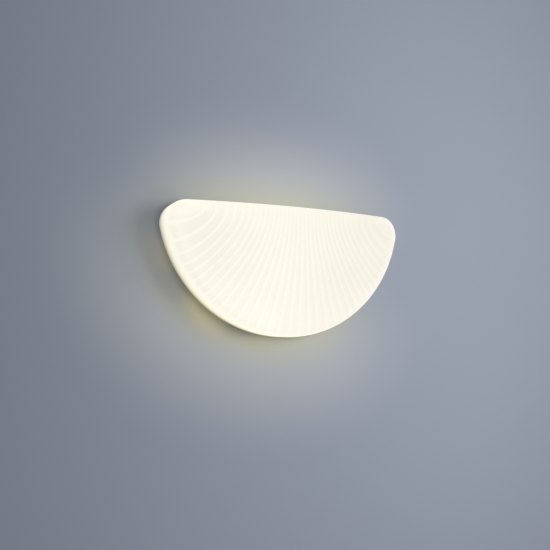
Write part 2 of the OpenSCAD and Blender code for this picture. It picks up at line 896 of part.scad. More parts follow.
module plate_screws() {
    color("silver") on_wall() for (place = pillar_places) {
        translate([place[0], place[1], plate_front]) screw(plate_screw_l);
    }
}

module plate_grommet() {
    color("black") on_wall() translate([exit_place[0], exit_place[1], plate_f]) {
        grommet(plate_grommet_r, plate_grommet_bore, plate_lip, plate_lip_h, plate_lip_h);
    }
}

// Light source

module board_holes(f, height) {
    for (place = board_screw_places) {
        translate([place[0], place[1], f]) cylinder(r = hole_r, h = height);
    }
}

module thermal_pad() {
    color("lightgray") on_wall() difference() {
        translate([0, 0, plate_front]) linear_extrude(pad_t) d_shape(board_inset + 1);
        board_holes(plate_front - 1, pad_t + 2);
    }
}

module led_board() {
    color("white") on_wall() difference() {
        translate([0, 0, board_f]) linear_extrude(board_t) d_shape(board_inset);
        board_holes(board_f - 1, board_t + 2);
    }
}

module led_chips() {
    color("gold") on_wall() for (p = led_places) {
        translate([p[0], p[1], board_front]) rotate([0, 0, p[2]]) block_at(0, 0, 0, led_size);
    }
}

connector_l = 8;
connector_w = 6.4;
connector_h = 3.2;

module board_connector() {
    place = [connector_place[0], connector_place[1], board_front];
    color("white") on_wall() translate(place) rotate([0, 0, socket_a]) difference() {
        block_at(0, 0, 0, [connector_w, connector_l, connector_h]);
        for (side = [-1, 1]) {
            translate([side * output_gap / 2, 1, connector_h - 0.6]) cylinder(r = 0.8, h = 1);
        }
    }
}

module board_screws() {
    color("silver") on_wall() for (place = board_screw_places) {
        translate([place[0], place[1], board_front]) screw(board_t + pad_t + sheet_t);
    }
}

// Leads: round tubes swept along their routes, each point as x, height, distance from the wall

output_gap = output_d + 0.3;

// Point at share t between p1 and p2 on a curve through p0, p1, p2 and p3
function through(p0, p1, p2, p3, t) = 0.5 * (2 * p1 + (p2 - p0) * t
    + (2 * p0 - 5 * p1 + 4 * p2 - p3) * t * t + (3 * p1 - p0 - 3 * p2 + p3) * t * t * t);

// The first and last stretches stay straight, so that each end lies square on its seat
function smooth_route(route, steps) = let (n = len(route) - 1) concat(
    [route[0]],
    [for (i = [1 : n - 2])
        for (j = [0 : steps - 1]) through(route[i - 1], route[i], route[i + 1], route[i + 2], j / steps)],
    [route[n - 1], route[n]]
);

function unit(v) = v / norm(v);

function route_direction(path, i) = let (n = len(path) - 1)
    i == 0 ? unit(path[1] - path[0])
    : i == n ? unit(path[n] - path[n - 1])
    : unit(path[i + 1] - path[i - 1]);

function square_to(v, d) = unit(v - (v * d) * d);

lead_sides = 8;

module tube(path, diameter) {
    n = len(path);
    ahead = [for (i = [0 : n - 1]) route_direction(path, i)];
    start = square_to(abs(ahead[0][2]) < 0.9 ? [0, 0, 1] : [1, 0, 0], ahead[0]);
    across = [for (i = 0, v = start; i < n; i = i + 1, v = i < n ? square_to(v, ahead[i]) : v) v];
    points = [
        for (i = [0 : n - 1])
            let (w = cross(ahead[i], across[i]))
            for (s = [0 : lead_sides - 1])
                let (a = 360 * s / lead_sides)
                path[i] + diameter / 2 * (cos(a) * across[i] + sin(a) * w)
    ];
    sides = [
        for (i = [0 : n - 2])
            for (s = [0 : lead_sides - 1])
                let (
                    a = i * lead_sides + s,
                    b = i * lead_sides + (s + 1) % lead_sides
                )
                for (face = [[a, a + lead_sides, b], [b, a + lead_sides, b + lead_sides]]) face
    ];
    first = [for (s = [0 : lead_sides - 1]) s];
    last = [for (s = [lead_sides - 1 : -1 : 0]) (n - 1) * lead_sides + s];
    polyhedron(points, concat(sides, [first, last]), convexity = 4);
}

barrel_end_x = block_x - barrel_l / 2;
driver_face_x = pcb_l / 2;
tag_end = [earth_place[0] + tag_l - 5, earth_place[1], floor_f + washer_t + tag_barrel_r];

// Each route runs straight for a few millimetres at its ends
live_route = [
    [barrel_end_x, pole_ys[2], pole_f],
    [barrel_end_x - 8, pole_ys[2], pole_f],
    [-74, 34, 11],
    [-84, 17, 12],
    [-86, -4, 12],
    [-77, -20, 13],
    [-driver_face_x - 12, -driver_down + lead_dy, lead_f],
    [-driver_face_x, -driver_down + lead_dy, lead_f]
];
neutral_route = [
    [barrel_end_x, pole_ys[0], pole_f],
    [barrel_end_x - 8, pole_ys[0], pole_f],
    [-70, 15, 10],
    [-77, 2, 9],
    [-80, -14, 9],
    [-74, -28, 11],
    [-driver_face_x - 12, -driver_down - lead_dy, lead_f],
    [-driver_face_x, -driver_down - lead_dy, lead_f]
];
earth_route = [
    [barrel_end_x, pole_ys[1], pole_f],
    [barrel_end_x - 8, pole_ys[1], pole_f],
    [-71, 25, 7],
    [-78, 15, 5.5],
    tag_end + [5, 0, 0],
    tag_end
];

// Route of an output lead, on one side of the pair's middle
function output_route(side) = let (
    out = [sin(socket_a), -cos(socket_a)],
    across = side * [-out[1], out[0]],
    hole = exit_place + output_gap / 2 * across,
    under = exit_place - 13 * out + 1.6 * across,
    over = hole - 1.6 * out,
    socket = connector_place + out * connector_l / 2 + output_gap / 2 * across,
    socket_f = board_front + connector_h / 2
) [
    [driver_face_x, -driver_down + side * lead_dy, lead_f],
    [driver_face_x + 10, -driver_down + side * lead_dy, lead_f],
    [73 - side, -22 + 2 * side, 12],
    [84 - 2 * side, -2 + side, 12],
    [92 - side, 15 + 2 * side, 12.5],
    [under[0], under[1], 13],
    [hole[0], hole[1], plate_f - 6],
    [hole[0], hole[1], plate_f - 2],
    [hole[0], hole[1], plate_f + 2.6],
    [over[0], over[1], socket_f],
    [socket[0] + 2 * out[0], socket[1] + 2 * out[1], socket_f],
    [socket[0], socket[1], socket_f]
];

route_steps = 2;

module live_lead() {
    color("saddlebrown") on_wall() tube(smooth_route(live_route, route_steps), mains_d);
}

module neutral_lead() {
    color("royalblue") on_wall() tube(smooth_route(neutral_route, route_steps), mains_d);
}

module earth_lead() {
    color("yellowgreen") on_wall() tube(smooth_route(earth_route, route_steps), mains_d);
}

module positive_lead() {
    color("firebrick") on_wall() tube(smooth_route(output_route(1), route_steps), output_d);
}

module negative_lead() {
    color("black") on_wall() tube(smooth_route(output_route(-1), route_steps), output_d);
}

shade();
base_tray();
wall_seal();
shade_springs();
spring_rivets();
cable_grommet();
cable_clamp();
clamp_screws();
terminal_block();
terminal_barrels();
terminal_screws();
block_screw();
earth_stud();
earth_washer();
earth_tag();
earth_nut();
driver_case();
driver_lid();
driver_board();
driver_transformer();
driver_capacitors();
driver_terminals();
driver_screws();
plate_pillars();
light_plate();
plate_screws();
plate_grommet();
thermal_pad();
led_board();
led_chips();
board_connector();
board_screws();
earth_lead();
live_lead();
neutral_lead();
positive_lead();
negative_lead();
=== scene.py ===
# Half-moon wall lamp with a fan-fluted opal shade, switched on, against a plain wall.
import math

import bmesh
import bpy
from mathutils import Matrix, Vector


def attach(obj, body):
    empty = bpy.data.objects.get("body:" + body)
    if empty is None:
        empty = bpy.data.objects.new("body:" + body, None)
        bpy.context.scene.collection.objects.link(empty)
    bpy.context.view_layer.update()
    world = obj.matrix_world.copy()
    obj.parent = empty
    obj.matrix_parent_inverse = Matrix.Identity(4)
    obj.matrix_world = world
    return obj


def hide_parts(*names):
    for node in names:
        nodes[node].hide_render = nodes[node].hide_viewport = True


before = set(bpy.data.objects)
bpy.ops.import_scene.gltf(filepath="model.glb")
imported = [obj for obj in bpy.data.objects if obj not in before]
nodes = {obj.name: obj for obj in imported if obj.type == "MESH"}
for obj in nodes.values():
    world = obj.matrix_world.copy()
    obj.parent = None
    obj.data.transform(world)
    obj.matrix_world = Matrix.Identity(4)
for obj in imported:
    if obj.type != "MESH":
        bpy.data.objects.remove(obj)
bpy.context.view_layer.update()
scene = bpy.context.scene
mm = 0.001


# Camera: in front of the wall, left of the lamp and a little below it, looking slightly up

camera = bpy.data.objects.new("camera", bpy.data.cameras.new("camera"))
scene.collection.objects.link(camera)
camera.location = (-334.96 * mm, -666.83 * mm, -73.19 * mm)
camera.rotation_euler = (math.radians(94.701), 0, math.radians(-26.15))
camera.data.sensor_width = 36
camera.data.lens = 41.88
camera.data.clip_start = 0.01
scene.camera = camera
scene.view_settings.view_transform = "Standard"


# Small helpers for materials

def new_material(name):
    """New material, with its node tree and its shader."""
    material = bpy.data.materials.new(name)
    material.use_nodes = True
    tree = material.node_tree
    return material, tree, tree.nodes["Principled BSDF"]


def set_plain(node, values):
    """Sets sockets that are the same all over the surface."""
    for name, value in values.items():
        node.inputs[name].default_value = value


def math_node(tree, operation, first, second=None):
    node = tree.nodes.new("ShaderNodeMath")
    node.operation = operation
    for socket, value in zip(node.inputs, (first, second)):
        if isinstance(value, (int, float)):
            socket.default_value = value
        elif value is not None:
            tree.links.new(value, socket)
    return node.outputs[0]


def product(tree, first, *others):
    for other in others:
        first = math_node(tree, "MULTIPLY", first, other)
    return first


def total(tree, first, *others):
    for other in others:
        first = math_node(tree, "ADD", first, other)
    return first


def minus(tree, first, second):
    return math_node(tree, "SUBTRACT", first, second)


def squared(tree, value):
    return math_node(tree, "POWER", value, 2)


def diagonal(tree, first, second):
    return math_node(tree, "SQRT", total(tree, squared(tree, first), squared(tree, second)))


def map_range(tree, value, low, high, to_low, to_high, smooth=False):
    node = tree.nodes.new("ShaderNodeMapRange")
    node.interpolation_type = "SMOOTHSTEP" if smooth else "LINEAR"
    tree.links.new(value, node.inputs["Value"])
    set_plain(node, {"From Min": low, "From Max": high, "To Min": to_low, "To Max": to_high})
    return node.outputs["Result"]


def ease(tree, value, low, high, to_low, to_high):
    return map_range(tree, value, low, high, to_low, to_high, smooth=True)


def mix_colour(tree, share, first, second, blend="MIX"):
    node = tree.nodes.new("ShaderNodeMix")
    node.data_type = "RGBA"
    node.blend_type = blend
    sockets = (node.inputs["Factor"], node.inputs[6], node.inputs[7])
    for socket, value in zip(sockets, (share, first, second)):
        if isinstance(value, tuple):
            socket.default_value = (*value, 1)
        elif isinstance(value, (int, float)):
            socket.default_value = value
        else:
            tree.links.new(value, socket)
    return node.outputs[2]


def scaled_colour(tree, colour, amount):
    return mix_colour(tree, 1, colour, amount, "MULTIPLY")


def added_colour(tree, first, second):
    return mix_colour(tree, 1, first, second, "ADD")


def split(tree, vector):
    node = tree.nodes.new("ShaderNodeSeparateXYZ")
    tree.links.new(vector, node.inputs[0])
    return node.outputs["X"], node.outputs["Y"], node.outputs["Z"]


# Nearly all values of a noise pattern lie in the first of these, and most in the second
noise_span = (0.3, 0.7)
cloud_span = (0.35, 0.65)


def noise(tree, vector, scale, detail):
    node = tree.nodes.new("ShaderNodeTexNoise")
    tree.links.new(vector, node.inputs["Vector"])
    set_plain(node, {"Scale": scale, "Detail": detail})
    return node.outputs["Fac"]


def object_place(tree):
    return tree.nodes.new("ShaderNodeTexCoord").outputs["Object"]


def bump(tree, height, strength, distance):
    node = tree.nodes.new("ShaderNodeBump")
    set_plain(node, {"Strength": strength, "Distance": distance})
    tree.links.new(height, node.inputs["Height"])
    return node.outputs["Normal"]


# Shared surface effects

def new_group(name, inputs, outputs):
    group = bpy.data.node_groups.new(name, "ShaderNodeTree")
    for label, kind, value in inputs:
        socket = group.interface.new_socket(label, in_out="INPUT", socket_type=kind)
        if value is not None:
            socket.default_value = value
    for label in outputs:
        group.interface.new_socket(label, in_out="OUTPUT", socket_type="NodeSocketFloat")
    start = group.nodes.new("NodeGroupInput")
    end = group.nodes.new("NodeGroupOutput")
    return group, start, end


def make_grain():
    """Fine grain of a moulded or painted surface, and soft wide clouds."""
    group, start, end = new_group(
        "grain",
        [("Vector", "NodeSocketVector", None), ("Scale", "NodeSocketFloat", 900.0),
         ("Cloud Scale", "NodeSocketFloat", 25.0)],
        ["Height", "Cloud"],
    )
    for label, scale, detail in (("Height", "Scale", 2), ("Cloud", "Cloud Scale", 4)):
        node = group.nodes.new("ShaderNodeTexNoise")
        node.inputs["Detail"].default_value = detail
        group.links.new(start.outputs["Vector"], node.inputs["Vector"])
        group.links.new(start.outputs[scale], node.inputs["Scale"])
        group.links.new(node.outputs["Fac"], end.inputs[label])
    return group


def make_drawn_lines():
    """Fine parallel lines of drawn or rolled metal, and faint stains."""
    group, start, end = new_group(
        "drawn_lines",
        [("Vector", "NodeSocketVector", None), ("Stretch", "NodeSocketVector", (1, 1, 12)),
         ("Scale", "NodeSocketFloat", 400.0)],
        ["Line", "Stain"],
    )
    stretched = group.nodes.new("ShaderNodeVectorMath")
    stretched.operation = "MULTIPLY"
    group.links.new(start.outputs["Vector"], stretched.inputs[0])
    group.links.new(start.outputs["Stretch"], stretched.inputs[1])
    line = group.nodes.new("ShaderNodeTexNoise")
    line.inputs["Detail"].default_value = 3
    group.links.new(stretched.outputs["Vector"], line.inputs["Vector"])
    group.links.new(start.outputs["Scale"], line.inputs["Scale"])
    group.links.new(line.outputs["Fac"], end.inputs["Line"])
    group.links.new(noise(group, start.outputs["Vector"], 60, 5), end.inputs["Stain"])
    return group


grain_group = make_grain()
drawn_group = make_drawn_lines()


def place_group(tree, group, values):
    """Puts a shared effect into a material, with the material's own values."""
    node = tree.nodes.new("ShaderNodeGroup")
    node.node_tree = group
    tree.links.new(object_place(tree), node.inputs["Vector"])
    set_plain(node, values)
    return node.outputs


def soft_finish(name, colour, other_colour, roughness, scale, depth, cloud_scale, coat=0):
    """Painted, moulded or cast surface: two near tones in clouds, fine grain, uneven gloss."""
    smoothest, roughest = 0.88 * roughness, 1.12 * roughness
    material, tree, shader = new_material(name)
    grain = place_group(tree, grain_group, {"Scale": scale, "Cloud Scale": cloud_scale})
    share = map_range(tree, grain["Cloud"], *cloud_span, 0, 1)
    tree.links.new(mix_colour(tree, share, colour, other_colour), shader.inputs["Base Color"])
    rough = map_range(tree, grain["Cloud"], *noise_span, smoothest, roughest)
    tree.links.new(rough, shader.inputs["Roughness"])
    set_plain(shader, {"Coat Weight": coat, "Coat Roughness": 0.15})
    tree.links.new(bump(tree, grain["Height"], 0.5, depth), shader.inputs["Normal"])
    return material


def metal_finish(name, colour, stain_colour, roughness, scale, stretch):
    """Drawn, rolled or plated metal with faint stains."""
    smoothest, roughest = 0.8 * roughness, 1.25 * roughness
    material, tree, shader = new_material(name)
    drawn = place_group(tree, drawn_group, {"Scale": scale, "Stretch": stretch})
    stain = map_range(tree, drawn["Stain"], 0.45, 0.7, 0, 1)
    tree.links.new(mix_colour(tree, stain, colour, stain_colour), shader.inputs["Base Color"])
    set_plain(shader, {"Metallic": 1})
    rough = map_range(tree, drawn["Line"], *noise_span, smoothest, roughest)
    tree.links.new(rough, shader.inputs["Roughness"])
    tree.links.new(bump(tree, drawn["Line"], 0.25, 0.00002), shader.inputs["Normal"])
    return material


# Opal shade, in millimetres, with the CAD solid's sizes, but with flutes that fade out faster over
# the shoulders and with a rounded rim

shade_w, shade_h, top_rise, rim_gap = 300, 146, 62, 2
corner_r, side_d, shoulder_r, dome_h, shade_t = 23, 19, 9, 18, 3
flute_count, flute_d, run_in, top_share = 35, 1.1, 0.45, 0.35
fan_gather, gather_power, fan_spread, spread_power, fan_pull = 0.325, 5, 1.33, 4.7, 0.27
fade_power = 3
rim_round, rim_steps = 0.5, 3
edge_r = shade_w / 2
edge_z = top_rise - shade_h + edge_r
corner_z = top_rise - corner_r
corner_x = math.sqrt((edge_r - corner_r) ** 2 - (edge_z - corner_z) ** 2)
corner_a = math.atan2(corner_x, edge_z - corner_z)
side_f = rim_gap + side_d
round_run = (edge_r - shoulder_r) * corner_a
corner_run = (corner_r - shoulder_r) * (math.pi - corner_a)

# The piece's map goes across from 0 at the left end to 1 at the right, and along from 0 at the rim
# above the face to 1 at the rim below it. These are where the upper wall and the upper shoulder end
map_wall, map_face = 0.12, 0.25


def edge_point(a, inset):
    """Point of the outline, moved in by inset, where its outward direction is a, counted from down."""
    if a <= corner_a:
        return (edge_r - inset) * math.sin(a), edge_z - (edge_r - inset) * math.cos(a)
    r = corner_r - inset
    return corner_x + r * math.sin(a), corner_z - r * math.cos(a)


def fan_top_x(u):
    """Where rib curve u leaves the top edge, from -1 at the left end to 1 at the right."""
    v = abs(u)
    return math.copysign(corner_x * ((1 - fan_gather) * v + fan_gather * v ** gather_power), u)


def fan_edge_a(u):
    """Outward direction of the outline where rib curve u meets it."""
    v = abs(u)
    s = (v - fan_spread * v ** spread_power * (1 - v)) * (round_run + corner_run)
    if s <= round_run:
        return s / (edge_r - shoulder_r)
    return corner_a + (s - round_run) / (corner_r - shoulder_r)


def side_point(u, inset):
    x, z = edge_point(fan_edge_a(u), inset)
    return (-x if u < 0 else x), z


def end_point(u, side, inset):
    """Point of rib curve u, moved in by inset: on the straight top at side 1, else on the round edge."""
    return (fan_top_x(u), top_rise - inset) if side > 0 else side_point(u, inset)


def swell(x, z):
    """Height of the face's dome, which comes to nothing at the round edge."""
    return dome_h * (1 - (x * x + (z - edge_z) ** 2) / edge_r ** 2)


def fan_point(u, t):
    """Point at share t of the way down rib curve u, which is square to the edge at both its ends."""
    a = fan_edge_a(u)
    x0, z0 = end_point(u, 1, shoulder_r)
    x3, z3 = end_point(u, -1, shoulder_r)
    reach = fan_pull * math.hypot(x3 - x0, z3 - z0)
    x1, z1 = x0, z0 - reach
    x2, z2 = x3 - reach * math.copysign(math.sin(a), u), z3 + reach * math.cos(a)
    s = 1 - t
    weights = (s ** 3, 3 * s * s * t, 3 * s * t * t, t ** 3)
    x = sum(w * p for w, p in zip(weights, (x0, x1, x2, x3)))
    z = sum(w * p for w, p in zip(weights, (z0, z1, z2, z3)))
    return x, z


def flute(u, t):
    """Depth of the flutes at curve u, share t along it: shallow at the top, full from run_in down,
    and none in the first and the last, which are plain lands."""
    place = (u + 1) / 2 * flute_count
    share = place - math.floor(place)
    if place < 1 or place > flute_count - 1:
        return 0
    grown = min(1, t / run_in)
    grown = grown * grown * (3 - 2 * grown)
    hollow = 4 * share * (1 - share)
    return flute_d * hollow * (top_share + (1 - top_share) * grown)


def girth(wall, shoulder, face):
    """Stations from the rim at the top, over the face, to the rim below, with so many steps on each
    wall, each shoulder and the face. Each has its side, part, share, angle and place on the map."""
    down = [("rim", 0, math.pi / 2 * k / rim_steps, 0) for k in range(rim_steps)]
    down += [("wall", k / wall, 0, map_wall * k / wall) for k in range(wall)]
    for k in range(shoulder):
        share = k / shoulder
        down.append(("shoulder", 1, math.pi / 2 * share, map_wall + (map_face - map_wall) * share))
    middle = []
    for k in range(face + 1):
        t = (1 - math.cos(math.pi * k / face)) / 2
        middle.append(("face", t, 0, map_face + (1 - 2 * map_face) * t))
    stations = [(1, *row) for row in down] + [(0, *row) for row in middle]
    return stations + [(-1, part, share, angle, 1 - v) for part, share, angle, v in reversed(down)]


def shade_point(u, station, inset, fluted):
    """Point of one skin, which lies inset in from the outer one, at curve u and one of the stations."""
    side, part, share, angle, _ = station
    if part == "face":
        x, z = fan_point(u, share)
        sunk = flute(u, share) if fluted else 0
        f = side_f + shoulder_r - inset + swell(x, z) - sunk
    elif part == "rim":
        # Quarter rounds at both edges of the flat end between the skins
        turn = -rim_round if inset else rim_round
        x, z = end_point(u, side, inset + turn * (1 - math.sin(angle)))
        f = rim_gap + rim_round * (1 - math.cos(angle))
    else:
        # Over the shoulders the flutes fade out, square to the surface
        sunk = flute(u, 0 if side > 0 else 1) * math.sin(angle) ** fade_power if fluted else 0
        r = shoulder_r - inset - sunk
        x, z = end_point(u, side, shoulder_r - r * math.cos(angle))
        crest = side_f + r * math.sin(angle) + swell(x, z)
        foot = rim_gap + rim_round
        f = foot + (crest - foot) * share
    return x * mm, -f * mm, z * mm


def add_shade_skin(bm, columns, stations, inset, fluted):
    """One skin of the shade: a grid with a column for each rib curve and a row for each station.
    Gives back its upper and its lower rim."""
    grid_half = 0.5
    map_layer = bm.loops.layers.uv.verify()
    last_column, last_row = len(columns) - 1, len(stations) - 1
    along = [station[-1] for station in stations]
    made = bmesh.ops.create_grid(bm, x_segments=last_column, y_segments=last_row, size=grid_half)
    place = {}
    for v in made["verts"]:
        place[v] = (round((v.co.x + grid_half) * last_column), round((v.co.y + grid_half) * last_row))
    for face in {f for v in made["verts"] for f in v.link_faces}:
        for corner in face.loops:
            i, j = place[corner.vert]
            corner[map_layer].uv = ((columns[i] + 1) / 2, along[j])
    for v, (i, j) in place.items():
        v.co = shade_point(columns[i], stations[j], inset, fluted)
    rims = [[None] * len(columns), [None] * len(columns)]
    for v, (i, j) in place.items():
        if j in (0, last_row):
            rims[j == last_row][i] = v
    return rims


def make_shade():
    flute_steps, land_steps = 8, 24
    outer_steps, inner_steps = (3, 10, 72), (2, 5, 20)
    columns = []
    for q in range(flute_count):
        n = land_steps if q in (0, flute_count - 1) else flute_steps
        columns += [2 * (q + i / n) / flute_count - 1 for i in range(n)]
    columns.append(1.0)
    bm = bmesh.new()
    outer = add_shade_skin(bm, columns, girth(*outer_steps), 0, True)
    inner = add_shade_skin(bm, columns, girth(*inner_steps), shade_t, False)
    # Flat end of the wall, between the two skins
    for rows in zip(outer, inner):
        rims = [bm.edges.get(pair) for row in rows for pair in zip(row, row[1:])]
        bmesh.ops.bridge_loops(bm, edges=rims)
    bmesh.ops.remove_doubles(bm, verts=bm.verts, dist=0.002 * mm)
    bmesh.ops.recalc_face_normals(bm, faces=bm.faces)
    for face in bm.faces:
        face.smooth = True
    mesh = bpy.data.meshes.new("opal_shade")
    bm.to_mesh(mesh)
    bm.free()
    piece = bpy.data.objects.new("opal_shade", mesh)
    scene.collection.objects.link(piece)
    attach(piece, "shade")
    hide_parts("shade")
    return piece


def hollow_mask(tree, across, along, x):
    """How strongly the hollows between the ridges show, from 0 on the ridges to 1."""
    # Ridges stand where the fan's count across is a whole number, with hollows between them
    share = math_node(tree, "FRACT", product(tree, across, flute_count))
    from_middle = math_node(tree, "ABSOLUTE", minus(tree, share, 0.5))
    hollow = ease(tree, from_middle, 0.31, 0.49, 1, 0)
    # They are weak at the top edge, and end over the shoulder below the face
    stops = ((0.2, 0.3), (0.4, 1), (0.6, 1), (0.73, 0.65), (0.785, 0.95), (0.85, 0))
    ramp = tree.nodes.new("ShaderNodeValToRGB")
    ramp.color_ramp.interpolation = "EASE"
    for k, (spot, strength) in enumerate(stops):
        stop = ramp.color_ramp.elements[k] if k < 2 else ramp.color_ramp.elements.new(spot)
        stop.position = spot
        stop.color = (strength, strength, strength, 1)
    tree.links.new(along, ramp.inputs[0])
    # They are faint on the plain lands at both ends, and show best at the left
    outwards = math_node(tree, "ABSOLUTE", minus(tree, across, 0.5))
    lands = map_range(tree, outwards, 0.474, 0.484, 1, 0.3)
    clear = ease(tree, x, -0.12, 0, 1, 0.42)
    return product(tree, hollow, ramp.outputs["Color"], lands, clear)


def opal_acrylic():
    """Lit opal acrylic: bright narrow ridges, creamier flutes, and a side that fades to its rim.
    Places are in metres: x to the right, y backwards and z up."""
    ridge_light, hollow_light = (0.883, 0.856, 0.745), (0.811, 0.782, 0.672)
    rim_light, low_rim_light = (0.72, 0.69, 0.56), (0.84, 0.78, 0.54)
    day_light, no_light = (0.03, 0.032, 0.09), (0, 0, 0)
    tone, other_tone = (0.135, 0.133, 0.128), (0.145, 0.142, 0.136)
    material, tree, shader = new_material("opal_acrylic")
    across, along, _ = split(tree, tree.nodes.new("ShaderNodeUVMap").outputs["UV"])
    place = object_place(tree)
    x, y, z = split(tree, place)
    cloud = noise(tree, place, 14, 2)
    # Light inside the wall falls off towards the rim, and is warmer low down
    forward = product(tree, y, -1)
    fade = ease(tree, forward, -0.0045, 0.0155, 0, 1)
    front = ease(tree, forward, 0.012, 0.027, 0, 1)
    low = ease(tree, z, 0.03, -0.06, 0, 1)
    # The whole shade is a little brighter at its left and low down
    haze = map_range(tree, cloud, *noise_span, 0.99, 1.01)
    lean = ease(tree, x, -0.07, 0.13, 1.045, 0.93)
    lift = ease(tree, z, 0, -0.07, 1, 1.03)
    face_light = mix_colour(tree, hollow_mask(tree, across, along, x), ridge_light, hollow_light)
    side_light = mix_colour(tree, low, rim_light, low_rim_light)
    glow = mix_colour(tree, front, side_light, face_light)
    glow = scaled_colour(tree, glow, product(tree, fade, haze, lean, lift))
    # Painted highlight: the room's daylight, which whitens the round edge at the right, added to the glow
    round_edge = ease(tree, along, 0.705, 0.765, 0, 1)
    right = ease(tree, x, 0.05, 0.125, 0, 1)
    daylight = mix_colour(tree, product(tree, round_edge, right), no_light, day_light)
    tree.links.new(added_colour(tree, glow, daylight), shader.inputs["Emission Color"])
    clouded = mix_colour(tree, map_range(tree, cloud, *cloud_span, 0, 1), tone, other_tone)
    tree.links.new(clouded, shader.inputs["Base Color"])
    fine = noise(tree, place, 1400, 2)
    tree.links.new(map_range(tree, fine, *noise_span, 0.6, 0.72), shader.inputs["Roughness"])
    tree.links.new(bump(tree, fine, 0.15, 0.00002), shader.inputs["Normal"])
    set_plain(shader, {"Emission Strength": 1, "Specular IOR Level": 0.08, "Subsurface Weight": 0.5,
                       "Subsurface Radius": (1, 0.95, 0.85), "Subsurface Scale": 0.004})
    return material


shade = make_shade()
shade.data.materials.append(opal_acrylic())


# Phosphor windows on the light chips, in millimetres

board_inset, led_margin, row_pitch, led_rows, led_pitch = 26, 8, 24, 4, 18
socket_a, socket_inset, socket_room = math.radians(66), 7, 9
chip_front = 27.9
window_r, window_bulge, window_sunk = 1.05, 0.12, 0.01
window_segments, window_rings = 14, 6


def chip_places():
    """Middles of the light chips in x and z, in curved rows that leave room for the connector."""
    first_row = edge_r - board_inset - led_margin
    top_z = top_rise - board_inset - led_margin
    socket = edge_point(socket_a, board_inset + socket_inset)
    places = []
    for row in range(led_rows):
        r = first_row - row * row_pitch
        reach = math.acos(min(1, (edge_z - top_z) / r))
        count = math.floor(2 * reach * r / led_pitch)
        for i in range(count + 1):
            a = reach * (2 * i / count - 1)
            x, z = r * math.sin(a), edge_z - r * math.cos(a)
            if math.hypot(x - socket[0], z - socket[1]) > socket_room:
                places.append((x, z))
    return places


def make_phosphor_windows():
    """Low yellow domes on the fronts of the light chips."""
    back = -(chip_front - window_sunk) * mm
    lying = Matrix.Rotation(math.pi / 2, 4, "X")
    low_dome = Matrix.Diagonal((window_r * mm, window_r * mm, window_bulge * mm, 1))
    bm = bmesh.new()
    for x, z in chip_places():
        middle = Matrix.Translation((x * mm, back, z * mm))
        bmesh.ops.create_uvsphere(bm, u_segments=window_segments, v_segments=window_rings, radius=1,
                                  matrix=middle @ lying @ low_dome)
    # Each one's back half is pressed flat
    for v in bm.verts:
        v.co.y = min(v.co.y, back)
    mesh = bpy.data.meshes.new("phosphor_windows")
    bm.to_mesh(mesh)
    bm.free()
    piece = bpy.data.objects.new("phosphor_windows", mesh)
    scene.collection.objects.link(piece)
    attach(piece, "base")
    return piece


def lit_phosphor():
    material = soft_finish("phosphor", (0.5, 0.42, 0.14), (0.45, 0.36, 0.1), 0.35, 1200, 0.00001, 300, 0.5)
    shader = material.node_tree.nodes["Principled BSDF"]
    set_plain(shader, {"Emission Color": (0.62, 0.52, 0.26, 1), "Emission Strength": 1})
    return material


windows = make_phosphor_windows()
windows.data.materials.append(lit_phosphor())


# Finishes of the CAD nodes

# Two colours, roughness, grain scale, grain depth in metres, cloud scale, and a clear coat if any
soft_finishes = {
    "white_paint": ((0.83, 0.83, 0.81), (0.79, 0.79, 0.77), 0.42, 1100, 0.00004, 18, 0.15),
    "foam": ((0.07, 0.07, 0.072), (0.045, 0.045, 0.047), 0.92, 1600, 0.0002, 60),
    "black_rubber": ((0.03, 0.03, 0.031), (0.045, 0.044, 0.042), 0.68, 1300, 0.00005, 80),
    "white_nylon": ((0.80, 0.79, 0.74), (0.76, 0.745, 0.69), 0.5, 700, 0.00004, 50),
    "case_plastic": ((0.78, 0.78, 0.76), (0.74, 0.74, 0.715), 0.6, 1500, 0.00006, 30),
    "circuit_board": ((0.03, 0.2, 0.09), (0.02, 0.15, 0.07), 0.35, 500, 0.00003, 200, 0.3),
    "ferrite": ((0.09, 0.08, 0.075), (0.05, 0.045, 0.045), 0.7, 1000, 0.00008, 90),
    "capacitor_sleeve": ((0.025, 0.035, 0.08), (0.035, 0.045, 0.1), 0.25, 600, 0.00002, 70),
    "green_terminal": ((0.05, 0.36, 0.15), (0.04, 0.31, 0.13), 0.45, 900, 0.00003, 60),
    "heat_pad": ((0.46, 0.46, 0.48), (0.4, 0.4, 0.42), 0.85, 1000, 0.00008, 70),
    "white_board": ((0.86, 0.86, 0.83), (0.82, 0.82, 0.79), 0.38, 800, 0.00002, 30, 0.2),
    "light_chip": ((0.84, 0.82, 0.74), (0.8, 0.78, 0.68), 0.4, 900, 0.00002, 200),
    "white_connector": ((0.82, 0.81, 0.76), (0.78, 0.77, 0.71), 0.5, 800, 0.00003, 120),
    "brown_lead": ((0.2, 0.085, 0.04), (0.16, 0.065, 0.03), 0.38, 1200, 0.00003, 120),
    "blue_lead": ((0.035, 0.13, 0.46), (0.03, 0.1, 0.38), 0.38, 1200, 0.00003, 120),
    "earth_lead": ((0.42, 0.56, 0.06), (0.1, 0.3, 0.05), 0.38, 1200, 0.00003, 120),
    "red_lead": ((0.55, 0.04, 0.03), (0.45, 0.03, 0.025), 0.38, 1200, 0.00003, 120),
    "black_lead": ((0.025, 0.025, 0.026), (0.04, 0.04, 0.04), 0.38, 1200, 0.00003, 120),
}

